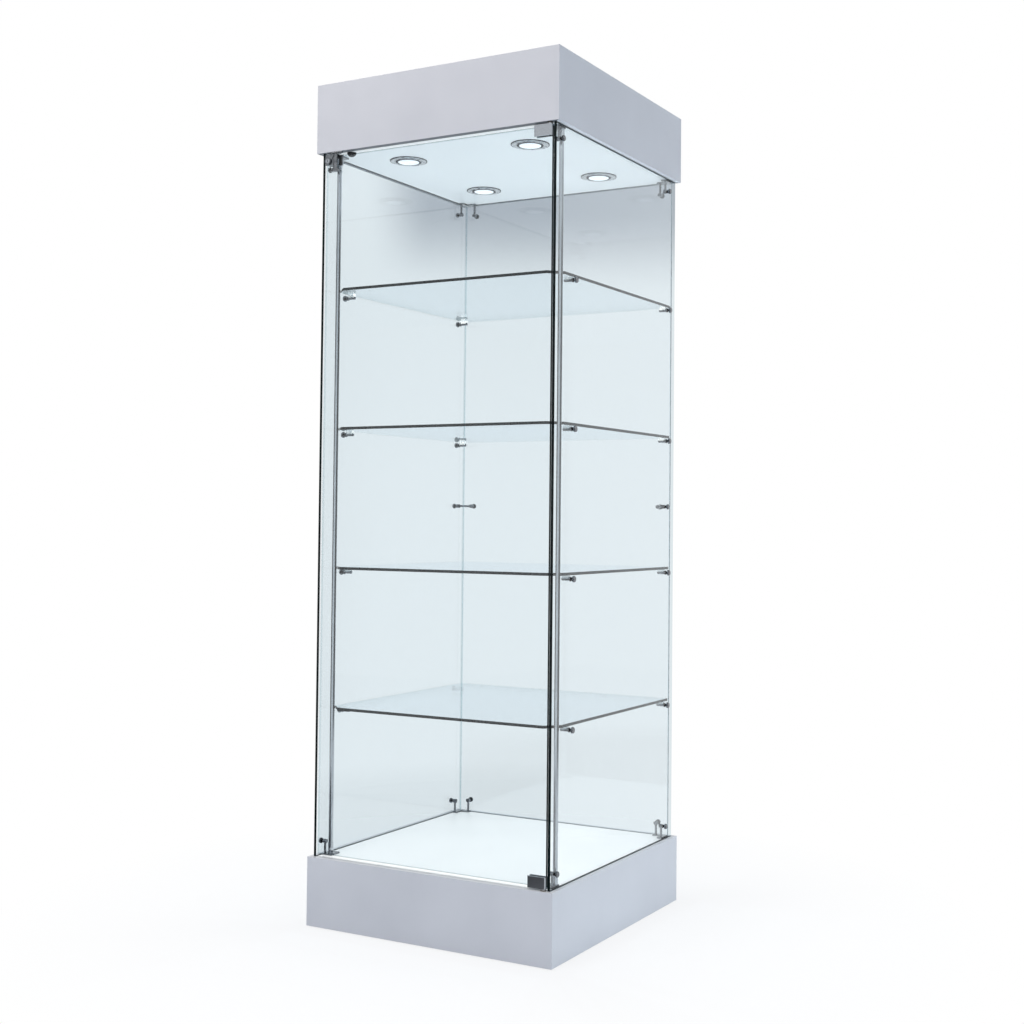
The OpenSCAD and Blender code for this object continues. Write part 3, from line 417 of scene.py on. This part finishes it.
def eased_copy(node_name, piece_name, width, segments=2, edge_finish=None, axis=None, ends=False):
    """A copy of a CAD node with its sharp edges broken.

    An edge finish goes on the faces round the axis, or with ends on those that look along it.
    """
    cad_node = frame["nodes"][node_name]
    piece = bpy.data.objects.new(piece_name, cad_node.data.copy())
    scene.collection.objects.link(piece)
    select_only(piece)
    bpy.ops.mesh.customdata_custom_splitnormals_clear()
    bpy.ops.object.mode_set(mode="EDIT")
    bpy.ops.mesh.select_all(action="SELECT")
    bpy.ops.mesh.remove_doubles(threshold=0.005 * MM)
    bpy.ops.mesh.dissolve_limited(angle_limit=math.radians(1))
    bpy.ops.mesh.normals_make_consistent(inside=False)
    bpy.ops.object.mode_set(mode="OBJECT")
    if edge_finish:
        piece.data.materials.append(edge_finish)
        for face in piece.data.polygons:
            is_end = abs(face.normal[axis]) >= ALONG
            face.material_index = int(is_end == ends)
    bevel = piece.modifiers.new("eased edges", "BEVEL")
    bevel.width = width
    bevel.segments = segments
    bevel.limit_method = "ANGLE"
    bevel.angle_limit = math.radians(40)
    if edge_finish and not ends:
        bevel.material = 1
    bpy.ops.object.modifier_apply(modifier=bevel.name)
    bpy.ops.object.shade_smooth_by_angle(angle=math.radians(35))
    flat_faces = piece.modifiers.new("flat faces", "WEIGHTED_NORMAL")
    flat_faces.keep_sharp = True
    bpy.ops.object.modifier_apply(modifier=flat_faces.name)
    body = next(b for b, nodes in frame["record"]["behaviour"]["bodies"].items() if node_name in nodes)
    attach(piece, body)
    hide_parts(node_name)
    return piece


print("eased copy helper ready")

# %% [markdown]
# ### Boards
#
# The four boards of each box meet in mitres, so every outer corner is a thin bright line where two eased
# edges meet. Their upper and lower edges carry pale bands, which show round the glass; the canopy's lower
# edges, apart from the right board's, get the band painted dark as shade. The finish of an edge is chosen
# by where its face looks. Deck and ceiling get a wider bevel, painted near black as the shadow in the
# joint.

# %% Boards
# The canopy's lower edges get the painted shade band, apart from the right board's.
band_of_board = {"plinth_front": edge_band, "plinth_back": edge_band, "plinth_left": edge_band,
                 "plinth_right": edge_band, "canopy_front": painted_shade_band, "canopy_back": painted_shade_band,
                 "canopy_left": painted_shade_band, "canopy_right": edge_band}
boards = [eased_copy(name, f"{name}_board", 0.4 * MM, edge_finish=band, axis=Z, ends=True)
          for name, band in band_of_board.items()]
for board in boards:
    if board.name.startswith("canopy"):
        board.data.materials.append(edge_band)
        for face in board.data.polygons:
            if face.normal.z > ALONG:
                face.material_index = 2
# Deck and ceiling edges are painted near black as the shadow in the joint.
boards += [eased_copy("deck_board", "deck_panel", 1.3 * MM, edge_finish=gap_shade_and_dark_lip, axis=Z),
           eased_copy("ceiling_panel", "ceiling_sheet", 1.7 * MM, edge_finish=gap_shade_and_dark_lip, axis=Z),
           eased_copy("canopy_lid", "canopy_top_panel", 0.4 * MM)]
print("boards eased:", len(boards), "with", sum(len(b.data.polygons) for b in boards), "faces")

# %% [markdown]
# ### Panes and shelves
#
# Each pane gets its ground edges as a second finish, with an arris of 0.8 mm at 45 degrees, and each shelf
# one of 0.9 mm. One segment keeps the arris flat, as the grinding belt leaves it.

# %% Panes and shelves
pane_arris, shelf_arris = 0.8 * MM, 0.9 * MM
panes = [eased_copy("glass_left", "left_pane", pane_arris, 1, pane_edge, X),
         eased_copy("glass_right", "right_pane", pane_arris, 1, pane_edge, X),
         eased_copy("glass_back", "back_pane", pane_arris, 1, back_edge_painted_light, Y),
         eased_copy("door_glass", "door_pane", pane_arris, 1, pane_edge, Y)]
panes += [eased_copy(f"shelf_{k}", f"shelf_pane_{k}", shelf_arris, 1, shelf_edge, Z)
          for k in (1, 2, 3, 4)]
print("panes:", {p.name: len(p.data.polygons) for p in panes})

# %% [markdown]
# ### Castings
#
# Hinge clamps and lock are zinc castings, tumbled before plating, so their edges are rounder than those
# of anything sawn. More segments in the bevel make that roundness.

# %% Castings
castings = [eased_copy("hinge_clamp_top", "top_hinge_clamp", 0.5 * MM, 3),
            eased_copy("hinge_clamp_bottom", "bottom_hinge_clamp", 0.5 * MM, 3),
            eased_copy("lock_body", "lock_case", 0.35 * MM, 2)]
print("castings:", {c.name: len(c.data.polygons) for c in castings})

# %% [markdown]
# ## Ceiling lights
#
# A light is a spun rim that hides the hole, with a matt black lip inside, and a moulded lens of rings that
# stands a few millimetres proud in that lip and spreads the light. Where the rim meets the ceiling, its
# outer ring is painted near black as the shadow in the gap there. Both are round, so each is built as a
# potter would: one circle, drawn out ring by ring along its section. The loop of each step is extruded,
# scaled and moved, and at the end the section is closed. One light is modelled at the centre and copied to
# the four places, each copy with its own mesh.

# %% Helpers for turned pieces
def turned(name, section, segments=96, closed=True):
    """A round piece at the origin from its section, a list of (radius, height) in mm.

    A closed section ends where it began, as a ring's does. An open one gets its two holes filled.
    """
    bpy.ops.object.select_all(action="DESELECT")
    radius, height = section[0]
    bpy.ops.mesh.primitive_circle_add(vertices=segments, radius=radius * MM, location=(0, 0, height * MM))
    piece = bpy.context.object
    piece.name = name
    bpy.ops.object.transform_apply(location=True, rotation=True, scale=True)
    bpy.ops.object.mode_set(mode="EDIT")
    bpy.ops.mesh.select_all(action="SELECT")
    for next_radius, next_height in section[1:]:
        bpy.ops.mesh.extrude_region_move()
        share = next_radius / radius
        bpy.ops.transform.resize(value=(share, share, 1), center_override=(0, 0, height * MM))
        bpy.ops.transform.translate(value=(0, 0, (next_height - height) * MM))
        radius, height = next_radius, next_height
    bpy.ops.mesh.select_all(action="DESELECT")
    bpy.ops.mesh.select_non_manifold()
    if closed:
        bpy.ops.mesh.bridge_edge_loops()
    else:
        bpy.ops.mesh.fill_holes(sides=0)
    bpy.ops.mesh.select_all(action="SELECT")
    bpy.ops.mesh.normals_make_consistent(inside=False)
    bpy.ops.object.mode_set(mode="OBJECT")
    bpy.ops.object.shade_smooth_by_angle(angle=math.radians(28))
    return piece


def copies_at(piece, places):
    """A numbered copy of a piece at each place, with its own mesh and its object at the origin."""
    made = []
    for number, place in enumerate(places, start=1):
        select_only(piece)
        bpy.ops.object.duplicate()
        copy = bpy.context.object
        copy.name = f"{piece.name}_{number}"
        copy.location = place
        bpy.ops.object.transform_apply(location=True, rotation=False, scale=False)
        made.append(copy)
    bpy.data.objects.remove(piece)
    return made


rim_r = 41.0 * MM
low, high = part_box("downlight_bezels")
ceiling_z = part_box("ceiling_panel")[0].z
light_places = [(x, y, ceiling_z) for x in (low.x + rim_r, high.x - rim_r)
                for y in (low.y + rim_r, high.y - rim_r)]
print("lights at", [[round(v, 3) for v in p] for p in light_places])

# %% Rims
rim_section = [
    (23.6, 0.6), (23.6, -3.3), (24.0, -3.6), (27.6, -3.5), (28.4, -3.1),     # black lip round the lens
    (29.0, -2.2), (29.5, -1.8), (30.9, -1.6), (32.4, -1.7), (33.6, -2.2),    # hollow of the rim
    (36.6, -2.5), (38.2, -2.4), (39.0, -2.1), (39.5, -1.7), (39.6, -1.5),    # its rounded outer ring
    # back of the rim on the ceiling: its outer ring is painted near black as the shadow in the gap
    (41.0, -1.5), (41.0, 0.0), (33.5, 0.0),                                  # gasket under the ceiling
    (33.5, 16.0), (30.5, 16.0), (30.5, 0.6)]                                 # neck up through the hole
lip_r, shadow_gap_r = 28.3 * MM, 39.8 * MM
rim = turned("light_rim", rim_section)
rim.data.materials.append(spun_nickel)
rim.data.materials.append(gap_shade_and_dark_lip)
for face in rim.data.polygons:
    face_r = math.hypot(face.center.x, face.center.y)
    face.material_index = int(face_r < lip_r or face_r > shadow_gap_r)
rims = copies_at(rim, light_places)
for piece in rims:
    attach(piece, "case")
    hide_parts("downlight_bezels")
print("rims:", len(rims), "of", len(rims[0].data.polygons), "faces")

# %% Lenses
ring_count, ring_step, first_ring_r = 8, 2.7, 22.4
lens_section = [(1.0, 2.0), (30.0, 2.0), (30.0, 0.6), (23.2, 0.6), (23.2, -3.6), (22.8, -4.0)]
for ring in range(ring_count):
    outer = first_ring_r - ring_step * ring
    lens_section += [(outer, -3.6), (outer - 1.2, -4.1), (outer - 2.3, -3.65)]
lens_section += [(1.0, -3.65)]
lens = turned("light_lens", lens_section, closed=False)
lens.data.materials.append(lit_lens)
lenses = copies_at(lens, light_places)
for piece in lenses:
    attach(piece, "case")
    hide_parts("downlight_lenses")
print("lenses:", len(lenses), "of", len(lenses[0].data.polygons), "faces")

# %% [markdown]
# ## Dark panels
#
# Chrome and glass need something darker than a white room to mirror, or they vanish. In a studio dark
# panels stand round the product for that, outside the picture. Here a panel is a band of compass angles,
# painted on the floor and on the room, which only reflections see. Two wide ones stand right and left of
# the case.

# %% Helpers for dark panels
panel_depth = 0.95                          # how much of the white a panel takes away
side_panels = ((8, 44, 4), (190, 40, 5))    # degrees: centre, half the width, softness of the edge


def compass(owner, vector):
    """The compass angle of a vector, counted from +X towards +Y, and its height."""
    parts = node(owner, "ShaderNodeSeparateXYZ")
    feed(owner, vector, parts.inputs["Vector"])
    return math_node(owner, "ARCTAN2", parts.outputs["Y"], parts.outputs["X"]), parts.outputs["Z"]


def panel(owner, angle, centre, half, soft):
    """1 inside a band of compass angles round centre, 0 outside, in degrees."""
    turned_by = math_node(owner, "SUBTRACT", angle, math.radians(centre))
    wrapped = math_node(owner, "ABSOLUTE", math_node(owner, "WRAP", turned_by, math.pi, -math.pi))
    outside = map_range(owner, wrapped, math.radians(half - soft), math.radians(half + soft),
                        easing="SMOOTHSTEP")
    return math_node(owner, "SUBTRACT", 1.0, outside)


print("dark panels at", [centre for centre, half, soft in side_panels], "degrees")

# %% [markdown]
# ## Floor
#
# A studio floor sweeps up into the background with no visible line. Here it is a large plane that is
# plain pale grey for the light that bounces off it, so that it fills the case from below. Seen by the
# camera, in a mirror or through glass, it is lifted to white, and only part of the shadow stays. In
# reflections the two side panels go on over the floor, or their foot would be a hard line at the horizon.

# %% Floor
bpy.ops.object.select_all(action="DESELECT")
bpy.ops.mesh.primitive_plane_add(size=60, location=(0, 0, 0))
floor = bpy.context.object
floor.name = "studio_floor"
studio_paint, bsdf = new_finish("studio_paint")
bsdf.inputs["Base Color"].default_value = (0.73, 0.82, 0.91, 1)
bsdf.inputs["Roughness"].default_value = 0.9
bsdf.inputs["Specular IOR Level"].default_value = 0.1

path = node(studio_paint, "ShaderNodeLightPath")
place = node(studio_paint, "ShaderNodeTexCoord").outputs["Object"]
away = node(studio_paint, "ShaderNodeVectorMath", operation="LENGTH")
feed(studio_paint, place, away.inputs[0])
seen = math_node(studio_paint, "MAXIMUM", path.outputs["Is Camera Ray"], path.outputs["Is Glossy Ray"])
seen = math_node(studio_paint, "MAXIMUM", seen, path.outputs["Is Transmission Ray"])
lift = map_range(studio_paint, away.outputs["Value"], 0.45, 1.1, 0.84, 1.0)
share = math_node(studio_paint, "MULTIPLY", lift, seen)

floor_angle, _ = compass(studio_paint, place)
feet = 0.0
for centre, half, soft in side_panels:
    feet = math_node(studio_paint, "MAXIMUM", feet, panel(studio_paint, floor_angle, centre, half, soft))
far_out = map_range(studio_paint, away.outputs["Value"], 1.8, 3.2, easing="SMOOTHSTEP")
feet = math_node(studio_paint, "MULTIPLY", feet, far_out)
feet = math_node(studio_paint, "MULTIPLY", feet, path.outputs["Is Glossy Ray"])
level = math_node(studio_paint, "MULTIPLY_ADD", feet, -panel_depth, 1.0)
glow = node(studio_paint, "ShaderNodeEmission")
glow.inputs["Color"].default_value = (1, 1, 1, 1)
feed(studio_paint, level, glow.inputs["Strength"])
show(studio_paint, mixed(studio_paint, share, bsdf.outputs["BSDF"], glow.outputs["Emission"]))
floor.data.materials.append(studio_paint)
print("floor laid:", floor.name)

# %% [markdown]
# ## Felt card
#
# A round card of dark felt lies on the floor in front of the case. It shows in reflections alone, and
# gives the chrome something dark to mirror from below. Its rim fades out, so no edge of it can be seen.

# %% Felt card
bpy.ops.mesh.primitive_plane_add(size=2, location=(0, 0, 0))
card = bpy.context.object
card.name = "dark_card"
card.location = (-0.45, -1.30, 0.004)
card.scale = (1.25, 1.25, 1)
card_felt, bsdf = new_finish("card_felt")
bsdf.inputs["Base Color"].default_value = (0.03, 0.03, 0.035, 1)
bsdf.inputs["Roughness"].default_value = 0.9
place = node(card_felt, "ShaderNodeTexCoord")
away = node(card_felt, "ShaderNodeVectorMath", operation="LENGTH")
clear = node(card_felt, "ShaderNodeBsdfTransparent")
feed(card_felt, place.outputs["Object"], away.inputs[0])
fade = map_range(card_felt, away.outputs["Value"], 0.45, 1.0, easing="SMOOTHSTEP")
show(card_felt, mixed(card_felt, fade, bsdf.outputs["BSDF"], clear.outputs["BSDF"]))
card.data.materials.append(card_felt)
card.visible_camera = card.visible_diffuse = card.visible_shadow = card.visible_transmission = False
print("card laid:", card.name)

# %% [markdown]
# ## Room
#
# The room is a white tent that fills the case with soft, slightly cool light. Reflections see the dark
# panels in it: the two at the sides, a paler one in front on the left, and a paler, narrow one behind. The
# last two start softly at the horizon. All of them end a little above it, so that a shelf seen from above
# mirrors the white tent. A grey cloth hangs behind the case, high up, and shows through the glass as a
# soft grey. The background beside the case stays white.

# %% Room
room = bpy.data.worlds.new("white_tent")
scene.world = room
room.use_nodes = True
room.node_tree.nodes.clear()
light_path = node(room, "ShaderNodeLightPath")
angle, rise = compass(room, node(room, "ShaderNodeTexCoord").outputs["Generated"])


def climb(start, end):
    """0 below one elevation, 1 above the other, in degrees."""
    return map_range(room, rise, math.sin(math.radians(start)), math.sin(math.radians(end)),
                     easing="SMOOTHSTEP")


def tent(colour, level):
    """The room's wall with a colour and a strength."""
    made = node(room, "ShaderNodeBackground")
    feed(room, colour, made.inputs["Color"])
    feed(room, level, made.inputs["Strength"])
    return made.outputs["Background"]


print("room helpers ready")

# %% Panels and grey cloth
front_depth, back_depth = 0.38, 0.55        # shares of a full panel
front_shade = math_node(room, "MULTIPLY", climb(-1, 13), front_depth)
back_shade = math_node(room, "MULTIPLY", climb(0, 7), back_depth)
front_panel = math_node(room, "MULTIPLY", panel(room, angle, -122, 30, 6), front_shade)
back_panel = math_node(room, "MULTIPLY", panel(room, angle, 86, 14, 3), back_shade)
panels = math_node(room, "MAXIMUM", front_panel, back_panel)
for centre, half, soft in side_panels:
    panels = math_node(room, "MAXIMUM", panels, panel(room, angle, centre, half, soft))
low_panels = math_node(room, "MULTIPLY", panels, math_node(room, "SUBTRACT", 1.0, climb(9, 17)))
mirror_level = math_node(room, "MULTIPLY_ADD", low_panels, -panel_depth, 1.0)

cloth = math_node(room, "MULTIPLY", panel(room, angle, 92, 33, 1.4), climb(8.8, 12.4))
past_glass = math_node(room, "GREATER_THAN", light_path.outputs["Transparent Depth"], 0.5)
backdrop = node(room, "ShaderNodeMix", data_type="RGBA")
backdrop.inputs["A"].default_value = (1, 1, 1, 1)
backdrop.inputs["B"].default_value = (0.49, 0.505, 0.55, 1)
feed(room, math_node(room, "MULTIPLY", cloth, past_glass), backdrop.inputs["Factor"])

fill = tent((0.945, 0.985, 1.06, 1), 0.60)
mirrored = mixed(room, light_path.outputs["Is Glossy Ray"], fill, tent((1, 1, 1, 1), mirror_level))
shown = mixed(room, light_path.outputs["Is Camera Ray"], mirrored, tent(backdrop.outputs["Result"], 1.0))
room_output = node(room, "ShaderNodeOutputWorld")
feed(room, shown, room_output.inputs["Surface"])
print("room:", len(room.node_tree.nodes), "nodes")

# %% [markdown]
# ## Lamps
#
# One large soft lamp stands high at the front left, so the front of the case is brighter than its right
# side. A low one lights that side from the right, near the floor. A small one inside stands for the light
# that the white deck sends up to the ceiling, and each of the four ceiling lights gets a warm lamp under
# its lens. No lamp itself is seen, neither by the camera nor in a mirror.

# %% Lamps
def soft_lamp(name, place, aim, size, power, colour, shape="SQUARE"):
    lamp_data = bpy.data.lights.new(name, "AREA")
    lamp_data.shape = shape
    lamp_data.size = size
    lamp_data.energy = power
    lamp_data.color = colour
    lamp = bpy.data.objects.new(name, lamp_data)
    scene.collection.objects.link(lamp)
    lamp.location = place
    lamp.rotation_euler = (Vector(aim) - Vector(place)).to_track_quat("-Z", "Y").to_euler()
    lamp.visible_camera = False
    lamp.visible_glossy = False
    return lamp


lamps = [soft_lamp("key_lamp", (-0.9, -3.0, 3.4), aim=(0, -0.3, 1.9), size=2.0, power=66.5,
                   colour=(1.0, 0.905, 0.825)),
         soft_lamp("low_fill_lamp", (2.4, 0.95, 0.22), aim=(0.3, 0.12, 0.06), size=1.0, power=27,
                   colour=(0.94, 1.0, 1.0)),
         soft_lamp("deck_bounce_lamp", (0, 0, 0.79), aim=(0, 0, 1.6), size=0.4, power=5.0,
                   colour=(1.0, 0.88, 0.77))]
for number, (x, y, z) in enumerate(light_places, start=1):
    spot = soft_lamp(f"ceiling_lamp_{number}", (x, y, z - 6 * MM), aim=(x, y, 0), size=0.05, power=4.0,
                     colour=(1.0, 0.82, 0.73), shape="DISK")
    spot.data.spread = math.radians(120)
    lamps.append(spot)
print("lamps:", [lamp.name for lamp in lamps])

# %% [markdown]
# ## Picture settings
#
# The colours go to the screen as they are, with the Standard transform. Many clear faces lie one behind
# the other here, and each counts as a bounce, so the limit for transparent bounces is raised.

# %% Picture settings
scene.view_settings.view_transform = "Standard"
scene.cycles.transparent_max_bounces = 48
